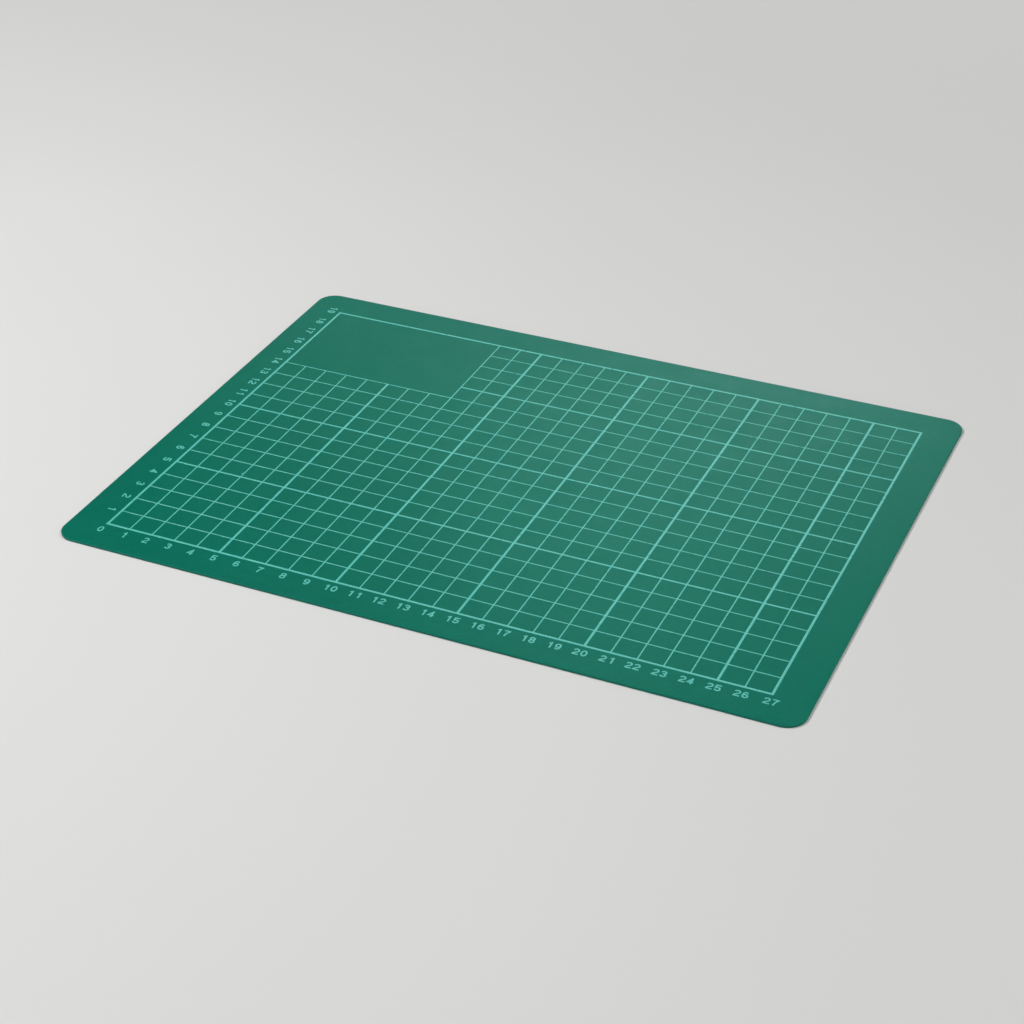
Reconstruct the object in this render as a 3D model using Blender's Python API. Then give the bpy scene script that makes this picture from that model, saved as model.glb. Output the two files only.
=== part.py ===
"""Cutting mat, 300 by 220 mm: two soft vinyl sheets bonded to a harder core, printed with a grid.

Metres, +Z up. The mat lies on z = 0 with its middle on the Z axis and its long side along X.
The ruled corner of the print is at the front left, and the bare title block at the back left.
"""
import math

import bmesh
import bpy

# Outline, die-cut through all the sheets
MAT_LENGTH = 0.300
MAT_WIDTH = 0.220
CORNER_RADIUS = 0.0078
CORNER_STEPS = 12

# Sheets, from the table up
BASE_THICKNESS = 0.00037
CORE_THICKNESS = 0.00024
TOP_THICKNESS = 0.00037
BOND_LINE = 0.00001
RIM_RADIUS = 0.00012
RIM_STEPS = 3

# Printed grid
CELL = 0.010
GRID_MARGIN = 0.015
BLOCK_CELLS = 5
TITLE_COLUMNS = 8
TITLE_ROWS = 5
FINE_LINE = 0.0005
BLOCK_LINE = 0.0008
BORDER_LINE = 0.00095
INK_THICKNESS = 0.00004

# Smaller than every gap and wall, so that only coincident points are joined
WELD_DISTANCE = 0.000001

# Linear colours and roughness of each finish
VINYL_GREEN = (0.012, 0.150, 0.108)
VINYL_ROUGHNESS = 0.5
CORE_GREEN = (0.010, 0.080, 0.062)
CORE_ROUGHNESS = 0.6
INK_TURQUOISE = (0.160, 0.530, 0.460)
INK_ROUGHNESS = 0.45


def clear_scene():
    for obj in list(bpy.data.objects):
        bpy.data.objects.remove(obj, do_unlink=True)


def finish(name, colour, roughness):
    """A plain non-metallic material."""
    material = bpy.data.materials.new(name)
    material.use_nodes = True
    shader = material.node_tree.nodes["Principled BSDF"]
    shader.inputs["Base Color"].default_value = (*colour, 1.0)
    shader.inputs["Roughness"].default_value = roughness
    shader.inputs["Metallic"].default_value = 0.0
    return material


def rounded_rectangle(length, width, radius, steps):
    """Points anticlockwise round a centred rectangle, each corner a quarter circle."""
    points = []
    corners = ((1, 1), (-1, 1), (-1, -1), (1, -1))
    for quarter, (side_x, side_y) in enumerate(corners):
        centre_x = side_x * (length / 2 - radius)
        centre_y = side_y * (width / 2 - radius)
        for step in range(steps + 1):
            angle = (quarter + step / steps) * math.pi / 2
            points.append((centre_x + radius * math.cos(angle), centre_y + radius * math.sin(angle)))
    return points


def rectangle(left, right, front, back):
    return [(left, front), (right, front), (right, back), (left, back)]


def flat_outline(name, loops, thickness):
    """A curve of the given thickness, filled between its outer loop and the holes."""
    curve = bpy.data.curves.new(name, "CURVE")
    curve.dimensions = "2D"
    curve.fill_mode = "BOTH"
    curve.extrude = thickness / 2
    for loop in loops:
        spline = curve.splines.new("POLY")
        spline.points.add(len(loop) - 1)
        for point, (x, y) in zip(spline.points, loop):
            point.co = (x, y, 0.0, 1.0)
        spline.use_cyclic_u = True
    return bpy.data.objects.new(name, curve)


def as_mesh(curve_object, collection):
    """Replace a curve by a mesh of one closed body with flat, undivided faces."""
    name = curve_object.name
    collection.objects.link(curve_object)
    evaluated = curve_object.evaluated_get(bpy.context.evaluated_depsgraph_get())
    mesh = bpy.data.meshes.new_from_object(evaluated)
    bpy.data.objects.remove(curve_object, do_unlink=True)
    mesh.name = name
    return bpy.data.objects.new(name, mesh)


def sheet(name, thickness, low, collection, material, rounded_rim=0):
    """One sheet of the mat, from height low up.

    rounded_rim is 1 where the upper rim is rounded by the die, -1 where the lower one is.
    """
    outline = rounded_rectangle(MAT_LENGTH, MAT_WIDTH, CORNER_RADIUS, CORNER_STEPS)
    obj = as_mesh(flat_outline(name, [outline], thickness), collection)
    shape = bmesh.new()
    shape.from_mesh(obj.data)
    bmesh.ops.remove_doubles(shape, verts=shape.verts, dist=WELD_DISTANCE)
    bmesh.ops.dissolve_limit(
        shape,
        angle_limit=math.radians(1),
        verts=shape.verts,
        edges=shape.edges,
    )
    if rounded_rim:
        rim = [
            edge for edge in shape.edges
            if all(vert.co.z * rounded_rim > thickness / 4 for vert in edge.verts)
        ]
        bmesh.ops.bevel(
            shape,
            geom=rim,
            affect="EDGES",
            offset=min(RIM_RADIUS, 0.9 * thickness),
            segments=RIM_STEPS,
            profile=0.5,
        )
    bmesh.ops.translate(shape, verts=shape.verts, vec=(0, 0, low + thickness / 2))
    bmesh.ops.recalc_face_normals(shape, faces=shape.faces)
    shape.to_mesh(obj.data)
    shape.free()
    obj.data.shade_smooth()
    obj.data.set_sharp_from_angle(angle=math.radians(50))
    obj.data.materials.clear()
    obj.data.materials.append(material)
    collection.objects.link(obj)
    return obj


def cells_along(extent):
    """How many whole cells fit between the margins."""
    return int((extent - 2 * GRID_MARGIN) / CELL + 0.001)


def line_width(index, count):
    """Width of one ruled line: the border, every fifth line and the rest differ."""
    if index in (0, count):
        return BORDER_LINE
    if index % BLOCK_CELLS == 0:
        return BLOCK_LINE
    return FINE_LINE


def gap_between(first, last, count):
    """The bare stretch from the first ruled line to the last, measured from the grid's middle."""
    low = (first - count / 2) * CELL + line_width(first, count) / 2
    high = (last - count / 2) * CELL - line_width(last, count) / 2
    return low, high


def grid_loops():
    """The border's outer edge, then the bare cells and the bare title block as holes."""
    columns = cells_along(MAT_LENGTH)
    rows = cells_along(MAT_WIDTH)
    title_columns = min(TITLE_COLUMNS, columns - 1)
    title_front = max(rows - TITLE_ROWS, 1)
    half_length = (columns * CELL + BORDER_LINE) / 2
    half_width = (rows * CELL + BORDER_LINE) / 2
    loops = [rectangle(-half_length, half_length, -half_width, half_width)]
    for column in range(columns):
        for row in range(rows):
            if column < title_columns and row >= title_front:
                continue
            across = gap_between(column, column + 1, columns)
            along = gap_between(row, row + 1, rows)
            loops.append(rectangle(*across, *along))
    title_across = gap_between(0, title_columns, columns)
    title_along = gap_between(title_front, rows, rows)
    loops.append(rectangle(*title_across, *title_along))
    return loops


def printed_grid(low, collection, material):
    """The grid's ink: one film with a hole for every bare cell."""
    obj = flat_outline("printed_grid", grid_loops(), INK_THICKNESS)
    obj.location.z = low + INK_THICKNESS / 2
    weld = obj.modifiers.new("Joined caps", "WELD")
    weld.merge_threshold = WELD_DISTANCE
    obj.data.materials.append(material)
    collection.objects.link(obj)
    return obj


def build_mat():
    clear_scene()
    mat = bpy.data.collections.new("cutting_mat")
    bpy.context.scene.collection.children.link(mat)
    vinyl = finish("vinyl", VINYL_GREEN, VINYL_ROUGHNESS)
    core = finish("core_vinyl", CORE_GREEN, CORE_ROUGHNESS)
    ink = finish("ink", INK_TURQUOISE, INK_ROUGHNESS)

    core_low = BASE_THICKNESS + BOND_LINE
    top_low = core_low + CORE_THICKNESS + BOND_LINE
    ink_low = top_low + TOP_THICKNESS + BOND_LINE
    sheet("base_sheet", BASE_THICKNESS, 0.0, mat, vinyl, rounded_rim=-1)
    sheet("core_sheet", CORE_THICKNESS, core_low, mat, core)
    sheet("top_sheet", TOP_THICKNESS, top_low, mat, vinyl, rounded_rim=1)
    printed_grid(ink_low, mat, ink)


build_mat()
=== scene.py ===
"""Looks of a printed vinyl cutting mat lying on a pale studio floor.

The vinyl sheets, the grid's ink and the ruled numbers are surfaces worked out with numpy in the
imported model's own frame: metres, +X along the front edge, +Y away from it and +Z up.
"""
import math

import bmesh
import bpy
import numpy as np
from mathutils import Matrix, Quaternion, Vector


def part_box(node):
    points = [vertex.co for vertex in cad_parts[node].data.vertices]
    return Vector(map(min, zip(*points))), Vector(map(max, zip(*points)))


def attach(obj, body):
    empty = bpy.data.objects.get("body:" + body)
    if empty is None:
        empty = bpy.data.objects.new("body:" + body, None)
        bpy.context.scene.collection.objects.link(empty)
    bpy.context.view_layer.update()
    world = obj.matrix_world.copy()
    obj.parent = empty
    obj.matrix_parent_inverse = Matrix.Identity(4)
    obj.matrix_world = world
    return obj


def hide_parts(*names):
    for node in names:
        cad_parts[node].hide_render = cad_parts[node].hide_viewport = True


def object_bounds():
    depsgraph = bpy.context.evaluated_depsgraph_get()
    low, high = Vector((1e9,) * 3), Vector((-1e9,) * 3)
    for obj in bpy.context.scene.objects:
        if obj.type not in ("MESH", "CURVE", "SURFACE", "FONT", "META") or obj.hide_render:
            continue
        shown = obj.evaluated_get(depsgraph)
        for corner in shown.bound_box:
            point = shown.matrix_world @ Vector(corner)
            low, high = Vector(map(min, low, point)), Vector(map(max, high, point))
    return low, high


bl_info = {
    "name": "Printed cutting mat",
    "version": (1, 0, 0),
    "blender": (4, 5, 0),
    "location": "View3D > Sidebar > Mat",
    "description": "Dresses a bonded vinyl cutting mat with its print, its numbers and a studio",
    "category": "Object",
}

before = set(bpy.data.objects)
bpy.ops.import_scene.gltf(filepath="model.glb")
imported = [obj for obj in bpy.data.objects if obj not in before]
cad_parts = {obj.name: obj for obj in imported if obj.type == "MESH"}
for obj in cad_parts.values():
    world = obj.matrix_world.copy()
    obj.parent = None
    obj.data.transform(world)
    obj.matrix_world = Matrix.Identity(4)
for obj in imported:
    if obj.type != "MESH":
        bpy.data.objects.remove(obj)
cad_low, cad_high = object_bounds()

BODY = "root"
MILLIMETRE = 0.001

# Lowest and highest corners of the two soft sheets and of the print, as packed
BASE_LOW, BASE_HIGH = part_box("base_sheet")
TOP_LOW, TOP_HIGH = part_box("top_sheet")
PRINT_LOW, PRINT_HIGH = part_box("printed_grid")

# How close points lie when they are joined: on a sheet or the grid, on the numbers, on one stroke
FILM_WELD = 0.002 * MILLIMETRE
NUMBER_WELD = 0.0005 * MILLIMETRE
STROKE_WELD = 0.0001 * MILLIMETRE


# Settings

class SheetSettings(bpy.types.PropertyGroup):
    """Shape of the die-cut sheets and finish of the soft vinyl."""

    corner_radius: bpy.props.FloatProperty(
        name="Corner radius", description="Radius of the mat's four corners",
        default=7.8 * MILLIMETRE, unit="LENGTH")
    rim_radius: bpy.props.FloatProperty(
        name="Rim radius", description="Round that the die leaves on the outer rim",
        default=0.12 * MILLIMETRE, unit="LENGTH")
    rim_pull: bpy.props.FloatProperty(
        name="Rim pull", description="How far the die draws the face down at the rim",
        default=0.012 * MILLIMETRE, unit="LENGTH")
    rim_reach: bpy.props.FloatProperty(
        name="Rim reach", description="How far in from the edge the face is drawn down",
        default=1.1 * MILLIMETRE, unit="LENGTH")
    colour: bpy.props.FloatVectorProperty(
        name="Vinyl colour", description="Green of the soft vinyl",
        default=(0.001, 0.152, 0.0975), subtype="COLOR", size=3)
    roughness: bpy.props.FloatProperty(
        name="Vinyl roughness", description="Mean roughness of the soft vinyl", default=0.33)
    # Painted shade: the cut sides get a darker green than the faces, standing in for the shade
    # that falls on them
    cut_colour: bpy.props.FloatVectorProperty(
        name="Cut colour", description="Green of the soft vinyl where the die has cut it",
        default=(0.008, 0.120, 0.078), subtype="COLOR", size=3)
    cut_roughness: bpy.props.FloatProperty(
        name="Cut roughness", description="Roughness of the cut sides", default=0.62)
    pebble: bpy.props.FloatProperty(
        name="Pebble size", description="Size of one grain of the embossed face",
        default=0.45 * MILLIMETRE, unit="LENGTH")
    core_colour: bpy.props.FloatVectorProperty(
        name="Core colour", description="Darker green of the hard core",
        default=(0.009, 0.102, 0.070), subtype="COLOR", size=3)


class PrintSettings(bpy.types.PropertyGroup):
    """The ruled grid, its numbers and the ink."""

    cell: bpy.props.FloatProperty(
        name="Cell", description="Side of one ruled square",
        default=10 * MILLIMETRE, unit="LENGTH")
    block: bpy.props.IntProperty(
        name="Block", description="Every so many lines is a wider one", default=5)
    title_columns: bpy.props.IntProperty(
        name="Title columns", description="Columns that the bare title block takes", default=8)
    title_rows: bpy.props.IntProperty(
        name="Title rows", description="Rows that the bare title block takes", default=5)
    fine_line_along: bpy.props.FloatProperty(
        name="Fine line along Y", description="Width of a centimetre line that runs front to back",
        default=0.5 * MILLIMETRE, unit="LENGTH")
    fine_line_across: bpy.props.FloatProperty(
        name="Fine line along X", description="Width of a centimetre line that runs left to right",
        default=0.465 * MILLIMETRE, unit="LENGTH")
    block_line_along: bpy.props.FloatProperty(
        name="Block line along Y",
        description="Width of a five centimetre line that runs front to back",
        default=0.95 * MILLIMETRE, unit="LENGTH")
    block_line_across: bpy.props.FloatProperty(
        name="Block line along X",
        description="Width of a five centimetre line that runs left to right",
        default=0.8 * MILLIMETRE, unit="LENGTH")
    border_line: bpy.props.FloatProperty(
        name="Border line", description="Width of the border",
        default=0.95 * MILLIMETRE, unit="LENGTH")
    ink_round: bpy.props.FloatProperty(
        name="Ink round", description="Radius that the wet ink leaves in each inner corner",
        default=0.16 * MILLIMETRE, unit="LENGTH")
    digit_height: bpy.props.FloatProperty(
        name="Digit height", description="Height of the ruled numbers",
        default=3.5 * MILLIMETRE, unit="LENGTH")
    front_gap: bpy.props.FloatProperty(
        name="Front gap", description="From the front border's middle to the top of its numbers",
        default=2.4 * MILLIMETRE, unit="LENGTH")
    left_gap: bpy.props.FloatProperty(
        name="Left gap", description="From the left border's middle to the top of its numbers",
        default=2.5 * MILLIMETRE, unit="LENGTH")
    speck_reach: bpy.props.FloatProperty(
        name="Speck", description="Radius of the stray drop of ink beside the third line",
        default=0.32 * MILLIMETRE, unit="LENGTH")
    colour: bpy.props.FloatVectorProperty(
        name="Ink colour", description="Pale turquoise of the print",
        default=(0.103, 0.584, 0.502), subtype="COLOR", size=3)
    roughness: bpy.props.FloatProperty(
        name="Ink roughness", description="Mean roughness of the ink", default=0.3)


class StageSettings(bpy.types.PropertyGroup):
    """Floor, even light, backdrop and lens."""

    floor_colour: bpy.props.FloatVectorProperty(
        name="Floor colour", description="Pale grey of the studio floor",
        default=(0.72, 0.72, 0.71), subtype="COLOR", size=3)
    surround: bpy.props.FloatProperty(
        name="Surround", description="Strength of the even light from all round", default=0.02)
    backdrop: bpy.props.FloatProperty(
        name="Backdrop", description="Brightness of the pale paper behind the floor", default=0.68)
    lens: bpy.props.FloatProperty(
        name="Lens", description="Focal length on a 36 mm sensor", default=75.85)


# Mesh helpers

def new_mesh_object(name, verts, faces):
    """A mesh object from whole arrays of points and faces, linked to the scene."""
    mesh = bpy.data.meshes.new(name)
    loops = [list(map(int, face)) for face in faces]
    mesh.from_pydata(np.asarray(verts, dtype=float).tolist(), [], loops)
    mesh.validate()
    obj = bpy.data.objects.new(name, mesh)
    bpy.context.scene.collection.objects.link(obj)
    return obj


def grid_faces(rows, around, closed_rows=False, closed_columns=True):
    """Quads between neighbouring rows and columns of points, joined at the ends where closed."""
    row = np.arange(rows if closed_rows else rows - 1)[:, None]
    col = np.arange(around if closed_columns else around - 1)[None, :]
    next_row = (row + 1) % rows
    next_col = (col + 1) % around
    corners = (
        row * around + col,
        row * around + next_col,
        next_row * around + next_col,
        next_row * around + col,
    )
    return np.stack(np.broadcast_arrays(*corners), axis=-1).reshape(-1, 4)


def tidy_mesh(obj, distance, sharp_degrees=40):
    """Join coincident points, point the faces outwards and shade smooth between sharp edges."""
    shape = bmesh.new()
    shape.from_mesh(obj.data)
    bmesh.ops.remove_doubles(shape, verts=shape.verts, dist=distance)
    bmesh.ops.recalc_face_normals(shape, faces=shape.faces)
    shape.to_mesh(obj.data)
    shape.free()
    obj.data.shade_smooth()
    obj.data.set_sharp_from_angle(angle=math.radians(sharp_degrees))


def give(obj, material, slot, *nodes):
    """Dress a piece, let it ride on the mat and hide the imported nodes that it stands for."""
    obj.data.materials.clear()
    obj.data.materials.append(material)
    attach(obj, BODY)
    if nodes:
        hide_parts(*nodes)


# Sheets

def outline(length, width, radius, corner_steps=16, side_step=10 * MILLIMETRE):
    """Points round a rounded rectangle: a quarter circle at each corner, even steps between.

    The steps are counted on the whole mat, so every ring of a sheet has the same number of points.
    """
    quarter = np.linspace(0, math.pi / 2, corner_steps + 1)
    parts = []
    turns = ((1, 1), (-1, 1), (-1, -1), (1, -1))
    for number, (side_x, side_y) in enumerate(turns):
        angle = quarter + number * math.pi / 2
        centre = np.array((side_x * (length / 2 - radius), side_y * (width / 2 - radius)))
        parts.append(centre + radius * np.stack((np.cos(angle), np.sin(angle)), axis=-1))
        run = (length, width)[number % 2] - 2 * radius
        steps = int(round((cad_high[number % 2] - cad_low[number % 2]) / side_step))
        share = np.linspace(0, 1, steps + 1)[1:-1, None]
        direction = np.array(((-1, 0), (0, -1), (1, 0), (0, 1))[number])
        parts.append(parts[-1][-1] + share * run * direction)
    return np.concatenate(parts)


def sheet_rings(low, high, face, settings, rim_steps=6, face_rings=20):
    """Rings of one sheet, from the pole under it to the pole over it.

    Each ring is the outline drawn in by an inset at one height. face is +1 where the upper rim is
    the mat's own and -1 where the lower rim is. That rim is a quarter circle, and the face next to
    it is drawn in by pull * ((reach - inset) / (reach - radius))^2.
    """
    length = cad_high[0] - cad_low[0]
    width = cad_high[1] - cad_low[1]
    radius = settings.rim_radius
    plain = np.array(((settings.rim_reach, 0.0), (0.0, 0.0)))
    turn = np.linspace(0, math.pi / 2, rim_steps + 1)
    drop = settings.rim_pull + radius
    rim = np.stack((radius * (1 - np.cos(turn)), drop - radius * np.sin(turn)), axis=-1)
    inset = np.linspace(radius, settings.rim_reach, rim_steps + 1)[1:]
    fade = (settings.rim_reach - inset) / (settings.rim_reach - radius)
    drawn = np.stack((inset, settings.rim_pull * fade ** 2), axis=-1)
    own = np.concatenate((rim, drawn))
    below = own[::-1] if face < 0 else plain
    above = own if face > 0 else plain[::-1]
    steps = [(inset, low + rise) for inset, rise in below]
    steps += [(inset, high - fall) for inset, fall in above]
    rings = []
    for inset, height in steps:
        ring = outline(length - 2 * inset, width - 2 * inset, settings.corner_radius - inset)
        rings.append(np.column_stack((ring, np.full(len(ring), height))))
    share = np.linspace(1, 0, face_rings + 1)[1:, None, None]
    scale = np.array((1.0, 1.0, 0.0))
    lift = np.array((0.0, 0.0, 1.0))
    over = rings[-1][None] * (share * scale + lift)
    under = (rings[0][None] * (share * scale + lift))[::-1]
    return np.concatenate((under, np.array(rings), over))


def sheet_piece(name, low, high, face, settings):
    """One sheet as a closed surface of rings."""
    rings = sheet_rings(low, high, face, settings)
    rows, around = rings.shape[:2]
    obj = new_mesh_object(name, rings.reshape(-1, 3), grid_faces(rows, around))
    tidy_mesh(obj, FILM_WELD, sharp_degrees=50)
    return obj


# Print

# How far round a crossing the film has its closer stops, and a hair more to catch the last of them
CROSSING_REACH = 0.9 * MILLIMETRE
CROSSING_CATCH = 1.01 * CROSSING_REACH

# Shoulder of the film in shares of its depth: where the flat top ends, as the distance in from the
# edge, and one point on the round below it, as the distance in and down
SHOULDER_START = 0.8
SHOULDER_ROUND = (0.2, 0.25)

# Stray drop: its middle from the border's front left corner, and how much its radius swells
SPECK_PLACE = (29.3 * MILLIMETRE, 52.5 * MILLIMETRE)
SPECK_SWELL = (0.12, 0.08)


def line_width(index, count, block_line, fine_line, settings):
    """Border, five centimetre lines and centimetre lines have their own widths."""
    if index in (0, count):
        return settings.border_line
    return fine_line if index % settings.block else block_line


def ruled_counts(settings):
    """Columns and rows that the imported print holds."""
    size = PRINT_HIGH - PRINT_LOW
    columns = round((size[0] - settings.border_line) / settings.cell)
    rows = round((size[1] - settings.border_line) / settings.cell)
    return columns, rows


def half_lines(column, row, settings):
    """Half the widths of the ruled lines that start a column and a row."""
    columns, rows = ruled_counts(settings)
    lines_along = (settings.block_line_along, settings.fine_line_along)
    lines_across = (settings.block_line_across, settings.fine_line_across)
    along = line_width(column, columns, *lines_along, settings)
    across = line_width(row, rows, *lines_across, settings)
    return np.array((along, across)) / 2


def side_stops(first, last, cell):
    """Positions along a ruled line: each crossing, and two stops on either side of it."""
    crossings = np.arange(first, last + 1) * cell
    around = np.array((-1.0, -0.5, 0.0, 0.5, 1.0)) * CROSSING_REACH
    stops = (crossings[:, None] + around).ravel()
    return stops[2:-2]


def film_ring(first, last, front, back, settings, outside=False):
    """Ink between the middle lines of the rules round one bare place and that place's edge.

    The place spans whole cells from column first to last and from row front to back. Stops along
    the middle lines are shared with the neighbours, so the rings join into one film. The edge
    keeps the same stops, pulled in by half a line, and turns each corner on a quarter circle.
    With outside set, the ring is the border's outer half, round the whole grid.
    """
    across = side_stops(first, last, settings.cell)
    along = side_stops(front, back, settings.cell)
    near = np.array((first, front)) * settings.cell
    far = np.array((last, back)) * settings.cell
    middle = np.concatenate((
        np.stack(np.broadcast_arrays(across[:-1], near[1]), -1),
        np.stack(np.broadcast_arrays(far[0], along[:-1]), -1),
        np.stack(np.broadcast_arrays(across[:0:-1], far[1]), -1),
        np.stack(np.broadcast_arrays(near[0], along[:0:-1]), -1),
    ))
    half_near = half_lines(first, front, settings)
    half_far = half_lines(last, back, settings)
    if outside:
        edge = np.where(np.isclose(middle, near), near - half_near, middle)
        edge = np.where(np.isclose(middle, far), far + half_far, edge)
        return middle, edge
    edge = np.clip(middle, near + half_near, far - half_far)
    radius = settings.ink_round
    side = np.sign(middle - (near + far) / 2)
    corner = np.where(side > 0, far - half_far - radius, near + half_near + radius)
    from_corner = (far - near) / 2 - np.abs(middle - (near + far) / 2)
    in_corner = (from_corner < CROSSING_CATCH).all(axis=1, keepdims=True)
    lead = (from_corner[:, 0] - from_corner[:, 1]) / CROSSING_REACH
    angle = (1 + lead) * math.pi / 4
    rounded = corner + side * radius * np.stack((np.cos(angle), np.sin(angle)), -1)
    return middle, np.where(in_corner, rounded, edge)


def film_sections(middle, edge, low, high):
    """Section of the film carried round a ring: flat top, rounded shoulder, wall and underside."""
    depth = high - low
    outward = edge - middle
    outward = outward / np.linalg.norm(outward, axis=1, keepdims=True)
    inward, down = SHOULDER_ROUND
    stations = (
        (middle, high),
        (edge - outward * SHOULDER_START * depth, high),
        (edge - outward * inward * depth, high - down * depth),
        (edge, low),
        (middle, low),
    )
    rings = [np.column_stack((place, np.full(len(place), height))) for place, height in stations]
    return np.array(rings)


def speck_ring(settings, steps=24):
    """Middle and edge of the stray drop of ink.

    Its radius is reach * (1 + first swell * sin(2 turn) + second swell * cos(3 turn)).
    """
    turn = np.linspace(0, 2 * math.pi, steps, endpoint=False)
    swell = SPECK_SWELL[0] * np.sin(2 * turn) + SPECK_SWELL[1] * np.cos(3 * turn)
    reach = settings.speck_reach * (1 + swell)
    middle = np.full((steps, 2), SPECK_PLACE)
    return middle, middle + reach[:, None] * np.stack((np.cos(turn), np.sin(turn)), -1)


def grid_film(settings):
    """The grid's ink: a ring round each bare place, one outside the border, and the stray drop."""
    columns, rows = ruled_counts(settings)
    title_front = rows - settings.title_rows
    places = [
        (column, column + 1, row, row + 1)
        for column in range(columns) for row in range(rows)
        if column >= settings.title_columns or row < title_front
    ]
    places.append((0, settings.title_columns, title_front, rows))
    rings = [film_ring(*place, settings) for place in places]
    rings.append(film_ring(0, columns, 0, rows, settings, outside=True))
    rings.append(speck_ring(settings))
    offset = np.array((-columns * settings.cell / 2, -rows * settings.cell / 2, 0.0))
    verts, faces, start = [], [], 0
    for middle, edge in rings:
        sections = film_sections(middle, edge, PRINT_LOW[2], PRINT_HIGH[2]) + offset
        verts.append(sections.reshape(-1, 3))
        faces.append(grid_faces(*sections.shape[:2]) + start)
        start += len(verts[-1])
    return np.concatenate(verts), np.concatenate(faces)


# Numbers

# Shares of a digit's height: its stroke, half its width, and the reach of its strokes' middles
STROKE = 0.174
SIDE = 0.345
HALF = SIDE - STROKE / 2
TOP = 1 - STROKE / 2
FOOT = STROKE / 2

# From one digit of a number to the next, and how far a last 1 stands beyond its place
DIGIT_ADVANCE = 0.85
LAST_ONE_LEAD = 0.1

# Least cosine that a stroke's mitre is divided by, so that a sharp joint doesn't spike
SHARPEST_MITRE = 0.45

# Numbers that the print sets off their lines, along the edge in the direction the numbers grow
TWO_DIGIT_SHIFT = 0.12 * MILLIMETRE
FRONT_SHIFTS = {0: -0.5 * MILLIMETRE, 21: 0.2 * MILLIMETRE, 27: 0.7 * MILLIMETRE}
LEFT_SHIFTS = {19: 1.0 * MILLIMETRE}


def arc(centre_x, centre_y, reach_x, reach_y, start, stop, steps=14):
    """Points centre + (reach_x * cos, reach_y * sin) from one angle to another, in degrees."""
    angle = np.radians(np.linspace(start, stop, steps + 1))
    return np.stack((centre_x + reach_x * np.cos(angle), centre_y + reach_y * np.sin(angle)), -1)


def bend(*corners, steps=10):
    """Points on the cubic Bezier curve of four control points."""
    a, b, c, d = (np.array(corner) for corner in corners)
    t = np.linspace(0, 1, steps + 1)[:, None]
    return a * (1 - t) ** 3 + 3 * b * t * (1 - t) ** 2 + 3 * c * t ** 2 * (1 - t) + d * t ** 3


def ring_of(centre_x, centre_y, reach_x, reach_y, steps=26):
    """Points once round an ellipse, without the last, which is the first again."""
    return arc(centre_x, centre_y, reach_x, reach_y, 0, 360, steps)[:-1]


def digit_strokes():
    """Middle lines of each digit on a height of 1: a list of (points, closed) for every digit."""
    middle = 0.53
    upper = (TOP + middle) / 2
    lower = (middle + FOOT) / 2
    bowl = 0.565
    six = [
        (ring_of(0, (bowl + FOOT) / 2, HALF, (bowl - FOOT) / 2), True),
        (arc(0.0, 0.5, HALF, TOP - 0.5, 195, 38, 18), False),
    ]
    crook = arc(0, 0.69, HALF, TOP - 0.69, 172, -25)
    neck = bend(crook[-1], (0.15, 0.44), (-HALF, 0.33), (-HALF, FOOT))
    return {
        0: [(ring_of(0, 0.5, HALF, TOP - 0.5, 32), True)],
        1: [
            ([(0.07, 0.0), (0.07, 1.0)], False),
            ([(-0.19, 0.76), (0.05, 0.84)], False),
        ],
        2: [
            (np.concatenate((crook, neck[1:])), False),
            ([(-SIDE, FOOT), (SIDE, FOOT)], False),
        ],
        3: [
            (arc(0, upper, HALF * 0.93, TOP - upper, 168, -90), False),
            (arc(0, lower, HALF, lower - FOOT, 90, -168), False),
            ([(-0.09, middle), (0.05, middle)], False),
        ],
        4: [
            ([(SIDE, 0.29), (-0.27, 0.29), (0.12, 0.90)], False),
            ([(0.13, 0.0), (0.13, 1.0)], False),
        ],
        5: [
            ([(0.30, TOP), (-0.20, TOP), (-0.255, 0.45)], False),
            (arc(0, 0.335, HALF, 0.335 - FOOT, 152, -168, 18), False),
        ],
        6: six,
        7: [
            ([(-SIDE, TOP), (SIDE, TOP)], False),
            (bend((HALF, TOP), (0.05, 0.66), (-0.09, 0.40), (-0.09, 0.0)), False),
        ],
        8: [
            (ring_of(0, upper, HALF * 0.9, TOP - upper), True),
            (ring_of(0, lower, HALF, lower - FOOT), True),
        ],
        9: [((0.0, 1.0) - points, closed) for points, closed in six],
    }


def stroke_solid(points, closed, height, low, high):
    """A rectangular section carried along a stroke from left to right of its middle line.

    At each point it is half a stroke along the mean of the two normals there, divided by that
    mean's cosine to either of them, so that both sides keep their width.
    """
    points = np.asarray(points, dtype=float)
    if closed:
        before = np.roll(points, 1, axis=0)
        after = np.roll(points, -1, axis=0)
    else:
        before = np.vstack((2 * points[0] - points[1], points[:-1]))
        after = np.vstack((points[1:], 2 * points[-1] - points[-2]))
    first = (points - before) / np.linalg.norm(points - before, axis=1, keepdims=True)
    second = (after - points) / np.linalg.norm(after - points, axis=1, keepdims=True)
    normal = np.stack((-first[:, 1] - second[:, 1], first[:, 0] + second[:, 0]), -1)
    normal /= np.linalg.norm(normal, axis=1, keepdims=True)
    square = np.stack((-first[:, 1], first[:, 0]), -1)
    cosine = (normal * square).sum(axis=1, keepdims=True)
    mitre = STROKE / 2 / np.clip(cosine, SHARPEST_MITRE, 1)
    left = (points + normal * mitre) * height
    right = (points - normal * mitre) * height
    stations = ((left, low), (left, high), (right, high), (right, low))
    rings = np.array([np.column_stack((side, np.full(len(side), z))) for side, z in stations])
    count = len(points)
    faces = grid_faces(4, count, closed_rows=True, closed_columns=closed).tolist()
    if not closed:
        start_cap = [0, count, 2 * count, 3 * count]
        faces += [start_cap, [corner + count - 1 for corner in reversed(start_cap)]]
    obj = new_mesh_object("stroke", rings.reshape(-1, 3), faces)
    tidy_mesh(obj, STROKE_WELD)
    return obj


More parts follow.
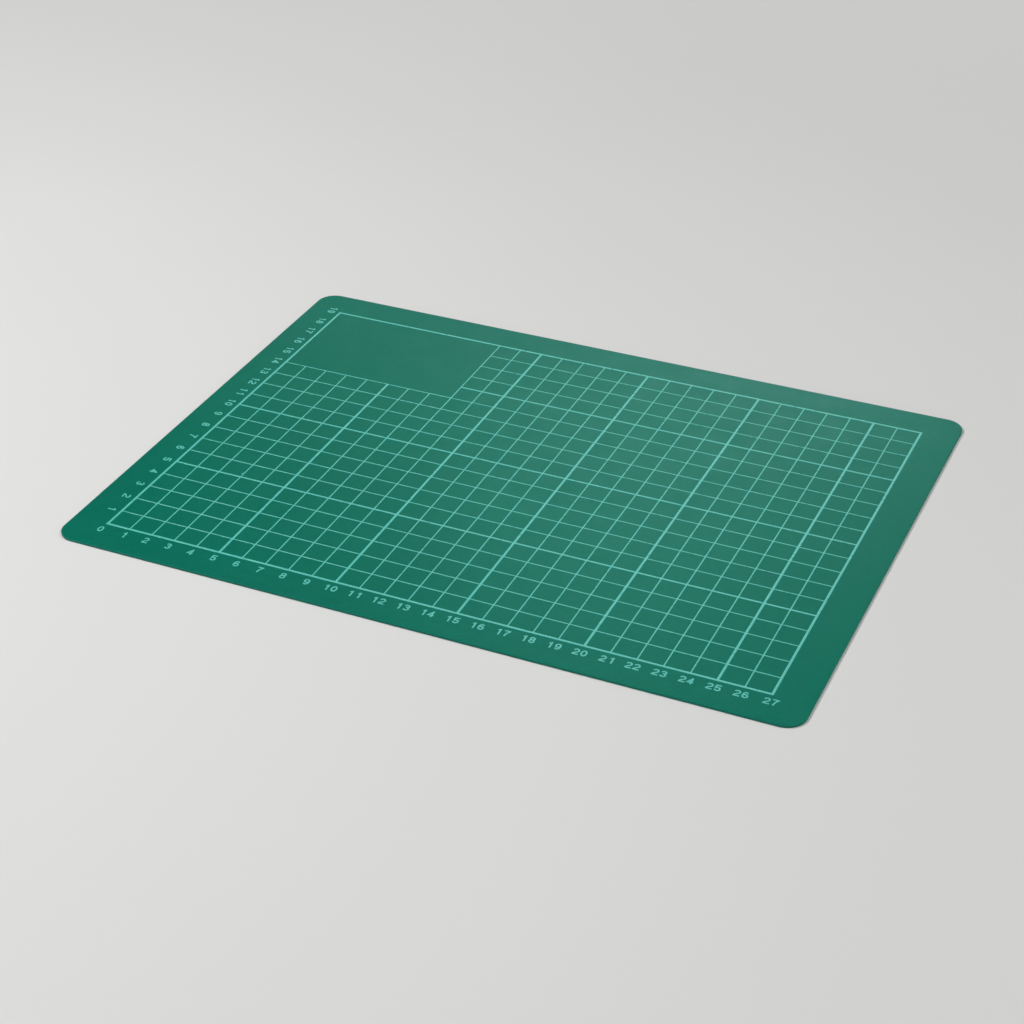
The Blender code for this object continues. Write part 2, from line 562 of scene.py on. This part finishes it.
def digit_shape(strokes, height, low, high):
    """Points and faces of one digit, its strokes united into one film."""
    solids = [stroke_solid(points, closed, height, low, high) for points, closed in strokes]
    for other in solids[1:]:
        union = solids[0].modifiers.new("Unite", "BOOLEAN")
        union.operation = "UNION"
        union.object = other
    evaluated = solids[0].evaluated_get(bpy.context.evaluated_depsgraph_get())
    mesh = bpy.data.meshes.new_from_object(evaluated)
    verts = np.empty(len(mesh.vertices) * 3)
    mesh.vertices.foreach_get("co", verts)
    faces = [list(polygon.vertices) for polygon in mesh.polygons]
    bpy.data.meshes.remove(mesh)
    for solid in solids:
        bpy.data.meshes.remove(solid.data)
    return verts.reshape(-1, 3), faces


def ruled_numbers(settings):
    """Every printed number as (number, place of its middle, whether it is turned clockwise)."""
    columns, rows = ruled_counts(settings)
    left = -columns * settings.cell / 2
    front = -rows * settings.cell / 2
    numbers = []
    for number in range(columns + 1):
        shift = FRONT_SHIFTS.get(number, 0.0) + (TWO_DIGIT_SHIFT if number > 9 else 0.0)
        down = front - settings.front_gap - settings.digit_height / 2
        numbers.append((number, (left + number * settings.cell + shift, down), False))
    for number in range(1, rows + 1):
        out = left - settings.left_gap - settings.digit_height / 2
        shift = LEFT_SHIFTS.get(number, 0.0)
        numbers.append((number, (out, front + number * settings.cell + shift), True))
    return numbers


def number_film(settings):
    """All the numbers: each digit's points turned and moved to its place along the number."""
    height = settings.digit_height
    shapes = {
        digit: digit_shape(strokes, height, PRINT_LOW[2], PRINT_HIGH[2])
        for digit, strokes in digit_strokes().items()
    }
    verts, faces, start = [], [], 0
    for number, (place_x, place_y), turned in ruled_numbers(settings):
        text = str(number)
        for position, letter in enumerate(text):
            points, loops = shapes[int(letter)]
            place = (position - (len(text) - 1) / 2) * DIGIT_ADVANCE
            if letter == "1" and position == len(text) - 1:
                place += LAST_ONE_LEAD
            along = points[:, 0] + place * height
            up = points[:, 1] - height / 2
            if turned:
                placed = np.column_stack((place_x + up, place_y - along, points[:, 2]))
            else:
                placed = np.column_stack((place_x + along, place_y + up, points[:, 2]))
            verts.append(placed)
            faces += [[corner + start for corner in loop] for loop in loops]
            start += len(points)
    return np.concatenate(verts), faces


# Finishes

GLOSS_LEVEL = 1.0
INK_IOR = 1.6
VINYL_GLOSS_TINT = (0.08, 1.0, 0.87, 1.0)

# How far from a face its finish ends and the cut side's rougher finish, with its painted shade, is
# full
CUT_FADE = (0.012 * MILLIMETRE, 0.03 * MILLIMETRE)

# Patterns of the finishes: size of a blotch, detail of the noise, and spread to either side
VINYL_SHIFT = (60 * MILLIMETRE, 1.0, 0.03)
VINYL_MOTTLE = (4 * MILLIMETRE, 2.0, 0.035)
VINYL_SPECKLE = (1.1 * MILLIMETRE, 3.0, 0.09)
VINYL_GLOSS = (12 * MILLIMETRE, 3.0, 0.03)
CORE_GRAIN = (0.9 * MILLIMETRE, 2.0, 0.1)
CORE_GLOSS = (2 * MILLIMETRE, 2.0, 0.08)
INK_COVER = (1.2 * MILLIMETRE, 3.0, 0.05)
INK_SHIFT = (30 * MILLIMETRE, 1.0, 0.02)
INK_GLOSS = (4 * MILLIMETRE, 2.0, 0.04)

# Mean cover of the ink, and the range that nearly all of the noise's values lie in
INK_STRENGTH = 0.995
NOISE_RANGE = (0.3, 0.7)

# Depths of the embossed pebbles, the size of the core's, and how many of them a swell spans
VINYL_DEPTH = 0.012 * MILLIMETRE
CORE_DEPTH = 0.004 * MILLIMETRE
INK_DEPTH = 0.008 * MILLIMETRE
CORE_PEBBLE = 0.3 * MILLIMETRE
PEBBLES_PER_SWELL = 5


def node(tree, kind, **values):
    """Add a shader node and set its inputs by name and its options by attribute."""
    made = tree.nodes.new(kind)
    for key, value in values.items():
        name = key.replace("_", " ").title()
        if name in made.inputs:
            made.inputs[name].default_value = value
        else:
            setattr(made, key, value)
    return made


def start_finish(name, roughness, gloss_level):
    """A new material, its nodes and shader, and the place in the frame that its patterns read."""
    material = bpy.data.materials.new(name)
    material.use_nodes = True
    tree = material.node_tree
    shader = tree.nodes["Principled BSDF"]
    shader.inputs["Roughness"].default_value = roughness
    shader.inputs["Specular IOR Level"].default_value = gloss_level
    place = tree.nodes.new("ShaderNodeTexCoord")
    return material, tree, shader, place.outputs["Object"]


def remap(tree, source, low, high, out_low, out_high):
    """Stretch part of a value's range to another range, and hold it at the ends of that."""
    made = node(tree, "ShaderNodeMapRange", from_min=low, from_max=high)
    made.inputs["To Min"].default_value = out_low
    made.inputs["To Max"].default_value = out_high
    tree.links.new(source, made.inputs["Value"])
    return made.outputs["Result"]


def noise(tree, place, size, detail):
    """Noise whose blotches measure about the given size in metres."""
    made = node(tree, "ShaderNodeTexNoise", scale=1 / size, detail=detail, roughness=0.5)
    tree.links.new(place, made.inputs["Vector"])
    return made.outputs["Fac"]


def uneven(tree, place, pattern, mean=1.0):
    """A value that wanders round its mean as the pattern says."""
    size, detail, spread = pattern
    value = noise(tree, place, size, detail)
    return remap(tree, value, *NOISE_RANGE, mean - spread, mean + spread)


def combine(tree, operation, first, second):
    """One step of arithmetic on a source and either another source or a plain number."""
    made = tree.nodes.new("ShaderNodeMath")
    made.operation = operation
    tree.links.new(first, made.inputs[0])
    if isinstance(second, bpy.types.NodeSocket):
        tree.links.new(second, made.inputs[1])
    else:
        made.inputs[1].default_value = second
    return made.outputs[0]


def tint(tree, colour, *factors):
    """A colour whose value is multiplied by each factor in turn."""
    made = node(tree, "ShaderNodeHueSaturation")
    made.inputs["Color"].default_value = (*colour, 1.0)
    source = factors[0]
    for factor in factors[1:]:
        source = combine(tree, "MULTIPLY", source, factor)
    tree.links.new(source, made.inputs["Value"])
    return made.outputs["Color"]


def blend_colours(tree, share, first, second):
    """From the first colour at a share of 0 to the second at 1."""
    made = node(tree, "ShaderNodeMix", data_type="RGBA")
    colour_sockets = [socket for socket in made.inputs if socket.type == "RGBA"]
    tree.links.new(share, made.inputs["Factor"])
    tree.links.new(first, colour_sockets[0])
    tree.links.new(second, colour_sockets[1])
    return next(socket for socket in made.outputs if socket.type == "RGBA")


def pebble_bump(tree, place, size, depth):
    """Normal of an embossed face: soft cells of the pebble's size over a slower swell."""
    cells = node(tree, "ShaderNodeTexVoronoi", feature="SMOOTH_F1", scale=1 / size)
    tree.links.new(place, cells.inputs["Vector"])
    swell = noise(tree, place, PEBBLES_PER_SWELL * size, detail=3.0)
    height = combine(tree, "ADD", cells.outputs["Distance"], swell)
    bump = node(tree, "ShaderNodeBump", strength=1.0, distance=depth)
    tree.links.new(height, bump.inputs["Height"])
    return bump.outputs["Normal"]


def cut_share(tree, place):
    """1 on the die-cut side of the mat and 0 on its two faces, from the height off its middle."""
    parts = tree.nodes.new("ShaderNodeSeparateXYZ")
    tree.links.new(place, parts.inputs["Vector"])
    half = (TOP_HIGH[2] - BASE_LOW[2]) / 2
    off_middle = combine(tree, "SUBTRACT", parts.outputs["Z"], BASE_LOW[2] + half)
    reach = combine(tree, "ABSOLUTE", off_middle, 0.0)
    return remap(tree, reach, half - CUT_FADE[1], half - CUT_FADE[0], 1.0, 0.0)


def vinyl_finish(name, settings):
    """Soft matte vinyl: slow shifts of green, mottle and speckle, uneven gloss and a pebbled face.

    The cut side is duller and a little greyer than the faces, and its green is painted darker as
    the shade on the sides.
    """
    material, tree, shader, place = start_finish(name, settings.roughness, GLOSS_LEVEL)
    shader.inputs["Specular Tint"].default_value = VINYL_GLOSS_TINT
    cut = cut_share(tree, place)
    slow = uneven(tree, place, VINYL_SHIFT)
    mottle = uneven(tree, place, VINYL_MOTTLE)
    speckle = uneven(tree, place, VINYL_SPECKLE)
    face = tint(tree, settings.colour, slow, mottle, speckle)
    # Painted shade: the cut sides take the darker green
    side = tint(tree, settings.cut_colour, speckle)
    tree.links.new(blend_colours(tree, cut, face, side), shader.inputs["Base Color"])
    gloss = uneven(tree, place, VINYL_GLOSS, settings.roughness)
    extra = combine(tree, "MULTIPLY", cut, settings.cut_roughness - settings.roughness)
    tree.links.new(combine(tree, "ADD", gloss, extra), shader.inputs["Roughness"])
    normal = pebble_bump(tree, place, settings.pebble, VINYL_DEPTH)
    tree.links.new(normal, shader.inputs["Normal"])
    return material


def core_finish(name, settings):
    """Hard core seen as a cut edge: darker, with a fine grain where the die has cut it."""
    material, tree, shader, place = start_finish(name, settings.cut_roughness, GLOSS_LEVEL)
    shader.inputs["Specular Tint"].default_value = VINYL_GLOSS_TINT
    grain = uneven(tree, place, CORE_GRAIN)
    tree.links.new(tint(tree, settings.core_colour, grain), shader.inputs["Base Color"])
    gloss = uneven(tree, place, CORE_GLOSS, settings.cut_roughness)
    tree.links.new(gloss, shader.inputs["Roughness"])
    normal = pebble_bump(tree, place, CORE_PEBBLE, CORE_DEPTH)
    tree.links.new(normal, shader.inputs["Normal"])
    return material


def ink_finish(name, print_settings, sheet_settings):
    """Screen-printed ink: slightly uneven cover over the same pebbled face."""
    material, tree, shader, place = start_finish(name, print_settings.roughness, GLOSS_LEVEL)
    shader.inputs["IOR"].default_value = INK_IOR
    cover = uneven(tree, place, INK_COVER, INK_STRENGTH)
    slow = uneven(tree, place, INK_SHIFT)
    tree.links.new(tint(tree, print_settings.colour, cover, slow), shader.inputs["Base Color"])
    gloss = uneven(tree, place, INK_GLOSS, print_settings.roughness)
    tree.links.new(gloss, shader.inputs["Roughness"])
    normal = pebble_bump(tree, place, sheet_settings.pebble, INK_DEPTH)
    tree.links.new(normal, shader.inputs["Normal"])
    return material


def soft_vinyl(scene):
    """The finish that both soft sheets share."""
    made = bpy.data.materials.get("soft_vinyl")
    return made or vinyl_finish("soft_vinyl", scene.mat_sheets)


def turquoise_ink(scene):
    """The finish that the grid and its numbers share."""
    made = bpy.data.materials.get("turquoise_ink")
    return made or ink_finish("turquoise_ink", scene.mat_print, scene.mat_sheets)


# Operators

class MAT_OT_base_sheet(bpy.types.Operator):
    """Make the soft sheet underneath, with its lower rim rounded"""

    bl_idname = "cutting_mat.base_sheet"
    bl_label = "Base sheet"

    def execute(self, context):
        scene = context.scene
        obj = sheet_piece("base_vinyl", BASE_LOW[2], BASE_HIGH[2], -1, scene.mat_sheets)
        give(obj, soft_vinyl(scene), "vinyl", "base_sheet")
        return {"FINISHED"}


class MAT_OT_core_sheet(bpy.types.Operator):
    """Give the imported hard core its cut-edge finish"""

    bl_idname = "cutting_mat.core_sheet"
    bl_label = "Core sheet"

    def execute(self, context):
        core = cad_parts["core_sheet"]
        core.data.materials.clear()
        core.data.materials.append(core_finish("hard_core", context.scene.mat_sheets))
        return {"FINISHED"}


class MAT_OT_top_sheet(bpy.types.Operator):
    """Make the soft sheet with the cutting face, its upper rim rounded by the die"""

    bl_idname = "cutting_mat.top_sheet"
    bl_label = "Top sheet"

    def execute(self, context):
        scene = context.scene
        obj = sheet_piece("top_vinyl", TOP_LOW[2], TOP_HIGH[2], 1, scene.mat_sheets)
        give(obj, soft_vinyl(scene), "vinyl", "top_sheet")
        return {"FINISHED"}


class MAT_OT_grid(bpy.types.Operator):
    """Print the ruled grid as one film of ink"""

    bl_idname = "cutting_mat.grid"
    bl_label = "Grid"

    def execute(self, context):
        scene = context.scene
        obj = new_mesh_object("grid_ink", *grid_film(scene.mat_print))
        tidy_mesh(obj, FILM_WELD)
        give(obj, turquoise_ink(scene), "ink", "printed_grid")
        return {"FINISHED"}


class MAT_OT_numbers(bpy.types.Operator):
    """Print the numbers along the front and up the left side"""

    bl_idname = "cutting_mat.numbers"
    bl_label = "Numbers"

    def execute(self, context):
        scene = context.scene
        obj = new_mesh_object("number_ink", *number_film(scene.mat_print))
        tidy_mesh(obj, NUMBER_WELD)
        give(obj, turquoise_ink(scene), "ink")
        return {"FINISHED"}


# Stage

FLOOR_SIZE = 2.2
FLOOR_DROP = 0.02 * MILLIMETRE
FLOOR_ROUGHNESS = 0.7
FLOOR_GLOSS = 0.2
FLOOR_SHADE = (400 * MILLIMETRE, 2.0, 0.01)

# How far from the mat's middle the floor starts to fade into the backdrop, and where it has gone
FLOOR_FADE = (0.35, 1.0)

# Sine of the elevation where the backdrop starts to fade from the gloss, and where it has gone
BACKDROP_FOOT = (0.087, 0.2)
BACKDROP_WHITE = (1.0, 1.0, 0.985, 1.0)

CAMERA_PLACE = Vector((0.3011, -0.6642, 0.4572))
CAMERA_AIM = Vector((0.0054, -0.0256, 0.001))
CAMERA_ROLL = math.radians(-0.854)
SENSOR_WIDTH = 36.0
NEAREST_SEEN = 0.01

# Panels of light: azimuth from +Y towards +X, elevation, distance, width, height, brightness
LAMPS = {
    "left_panel": (-110, 52, 1.3, 0.55, 0.55, 13.2),
    "right_panel": (70, 52, 2.2, 0.90, 0.90, 7.1),
    "wide_card": (-15, 25, 1.2, 0.98, 0.17, 0.70),
    "right_card": (-9, 25, 1.2, 0.25, 0.17, 1.41),
    "left_card": (-21, 33, 1.2, 0.25, 0.17, 1.48),
    "front_fill": (180, 15, 1.3, 0.60, 0.60, 2.4),
    "right_fill": (90, 12, 1.3, 0.60, 0.60, 2.6),
}


def lamp_panel(name, azimuth, elevation, distance, width, height, brightness):
    """A rectangle of even brightness that faces the mat. Its power is brightness * pi * area."""
    data = bpy.data.lights.new(name, "AREA")
    data.shape = "RECTANGLE"
    data.size = width
    data.size_y = height
    data.energy = brightness * math.pi * width * height
    lamp = bpy.data.objects.new(name, data)
    turn = math.radians(azimuth)
    rise = math.radians(elevation)
    level = math.cos(rise)
    away = Vector((math.sin(turn) * level, math.cos(turn) * level, math.sin(rise)))
    lamp.location = away * distance
    lamp.rotation_mode = "QUATERNION"
    lamp.rotation_quaternion = away.to_track_quat("Z", "Y")
    bpy.context.scene.collection.objects.link(lamp)


def mix_shaders(tree, share, first, second, output):
    """Shade by the first shader at a share of 0 and by the second at 1."""
    made = tree.nodes.new("ShaderNodeMixShader")
    tree.links.new(share, made.inputs["Fac"])
    tree.links.new(first.outputs[0], made.inputs[1])
    tree.links.new(second.outputs[0], made.inputs[2])
    tree.links.new(made.outputs["Shader"], tree.nodes[output].inputs["Surface"])


def studio_world(settings):
    """A faint even light from all round, and the pale backdrop behind the floor.

    The camera and clear pieces see the backdrop everywhere. Gloss sees its foot, which fades out
    with height, so that the paper doesn't light the mat from above.
    """
    world = bpy.data.worlds.new("studio")
    world.use_nodes = True
    tree = world.node_tree
    surround = tree.nodes["Background"]
    surround.inputs["Color"].default_value = (1.0, 1.0, 1.0, 1.0)
    surround.inputs["Strength"].default_value = settings.surround
    backdrop = node(tree, "ShaderNodeBackground", color=BACKDROP_WHITE)
    backdrop.inputs["Strength"].default_value = settings.backdrop
    ray = tree.nodes.new("ShaderNodeLightPath").outputs
    direction = tree.nodes.new("ShaderNodeTexCoord")
    parts = tree.nodes.new("ShaderNodeSeparateXYZ")
    tree.links.new(direction.outputs["Generated"], parts.inputs["Vector"])
    foot = remap(tree, parts.outputs["Z"], *BACKDROP_FOOT, 1.0, 0.0)
    seen = combine(tree, "MULTIPLY", ray["Is Glossy Ray"], foot)
    seen = combine(tree, "MAXIMUM", seen, ray["Is Camera Ray"])
    seen = combine(tree, "MAXIMUM", seen, ray["Is Transmission Ray"])
    mix_shaders(tree, seen, surround, backdrop, "World Output")
    return world


def floor_piece(settings):
    """A broad flat floor just under the mat, which fades out far from it."""
    corners = np.array(((-1, -1), (1, -1), (1, 1), (-1, 1))) * FLOOR_SIZE / 2
    floor = new_mesh_object("floor", np.insert(corners, 2, -FLOOR_DROP, axis=1), [(0, 1, 2, 3)])
    material, tree, shader, place = start_finish("floor_paper", FLOOR_ROUGHNESS, FLOOR_GLOSS)
    shade = uneven(tree, place, FLOOR_SHADE)
    tree.links.new(tint(tree, settings.floor_colour, shade), shader.inputs["Base Color"])
    far = node(tree, "ShaderNodeVectorMath", operation="LENGTH")
    tree.links.new(place, far.inputs[0])
    share = remap(tree, far.outputs["Value"], *FLOOR_FADE, 0.0, 1.0)
    clear = tree.nodes.new("ShaderNodeBsdfTransparent")
    mix_shaders(tree, share, shader, clear, "Material Output")
    floor.data.materials.append(material)


class MAT_OT_stage(bpy.types.Operator):
    """Set up the floor, the surround, the lamps and the camera"""

    bl_idname = "cutting_mat.stage"
    bl_label = "Stage"

    def execute(self, context):
        scene = context.scene
        settings = scene.mat_stage
        floor_piece(settings)
        scene.world = studio_world(settings)
        for name, values in LAMPS.items():
            lamp_panel(name, *values)
        data = bpy.data.cameras.new("camera")
        data.lens = settings.lens
        data.sensor_width = SENSOR_WIDTH
        data.clip_start = NEAREST_SEEN
        camera = bpy.data.objects.new("camera", data)
        camera.location = CAMERA_PLACE
        camera.rotation_mode = "QUATERNION"
        look = (CAMERA_AIM - CAMERA_PLACE).to_track_quat("-Z", "Y")
        camera.rotation_quaternion = look @ Quaternion((0, 0, 1), CAMERA_ROLL)
        scene.collection.objects.link(camera)
        scene.camera = camera
        scene.view_settings.view_transform = "Standard"
        return {"FINISHED"}


class MAT_PT_panel(bpy.types.Panel):
    """Buttons for each piece of the mat and for its stage"""

    bl_idname = "MAT_PT_panel"
    bl_label = "Cutting mat"
    bl_space_type = "VIEW_3D"
    bl_region_type = "UI"
    bl_category = "Mat"

    def draw(self, context):
        for operator in OPERATORS:
            self.layout.operator(operator.bl_idname)
        for name in SETTINGS:
            settings = getattr(context.scene, name)
            box = self.layout.box()
            for key in settings.__annotations__:
                box.prop(settings, key)


SETTINGS = {"mat_sheets": SheetSettings, "mat_print": PrintSettings, "mat_stage": StageSettings}
OPERATORS = (
    MAT_OT_base_sheet,
    MAT_OT_core_sheet,
    MAT_OT_top_sheet,
    MAT_OT_grid,
    MAT_OT_numbers,
    MAT_OT_stage,
)


def register():
    for name, settings in SETTINGS.items():
        bpy.utils.register_class(settings)
        setattr(bpy.types.Scene, name, bpy.props.PointerProperty(type=settings))
    for operator in OPERATORS:
        bpy.utils.register_class(operator)
    bpy.utils.register_class(MAT_PT_panel)


def unregister():
    bpy.utils.unregister_class(MAT_PT_panel)
    for operator in reversed(OPERATORS):
        bpy.utils.unregister_class(operator)
    for name, settings in SETTINGS.items():
        delattr(bpy.types.Scene, name)
        bpy.utils.unregister_class(settings)


def main():
    register()
    bpy.ops.cutting_mat.base_sheet()
    bpy.ops.cutting_mat.core_sheet()
    bpy.ops.cutting_mat.top_sheet()
    bpy.ops.cutting_mat.grid()
    bpy.ops.cutting_mat.numbers()
    bpy.ops.cutting_mat.stage()


if __name__ == "__main__":
    main()
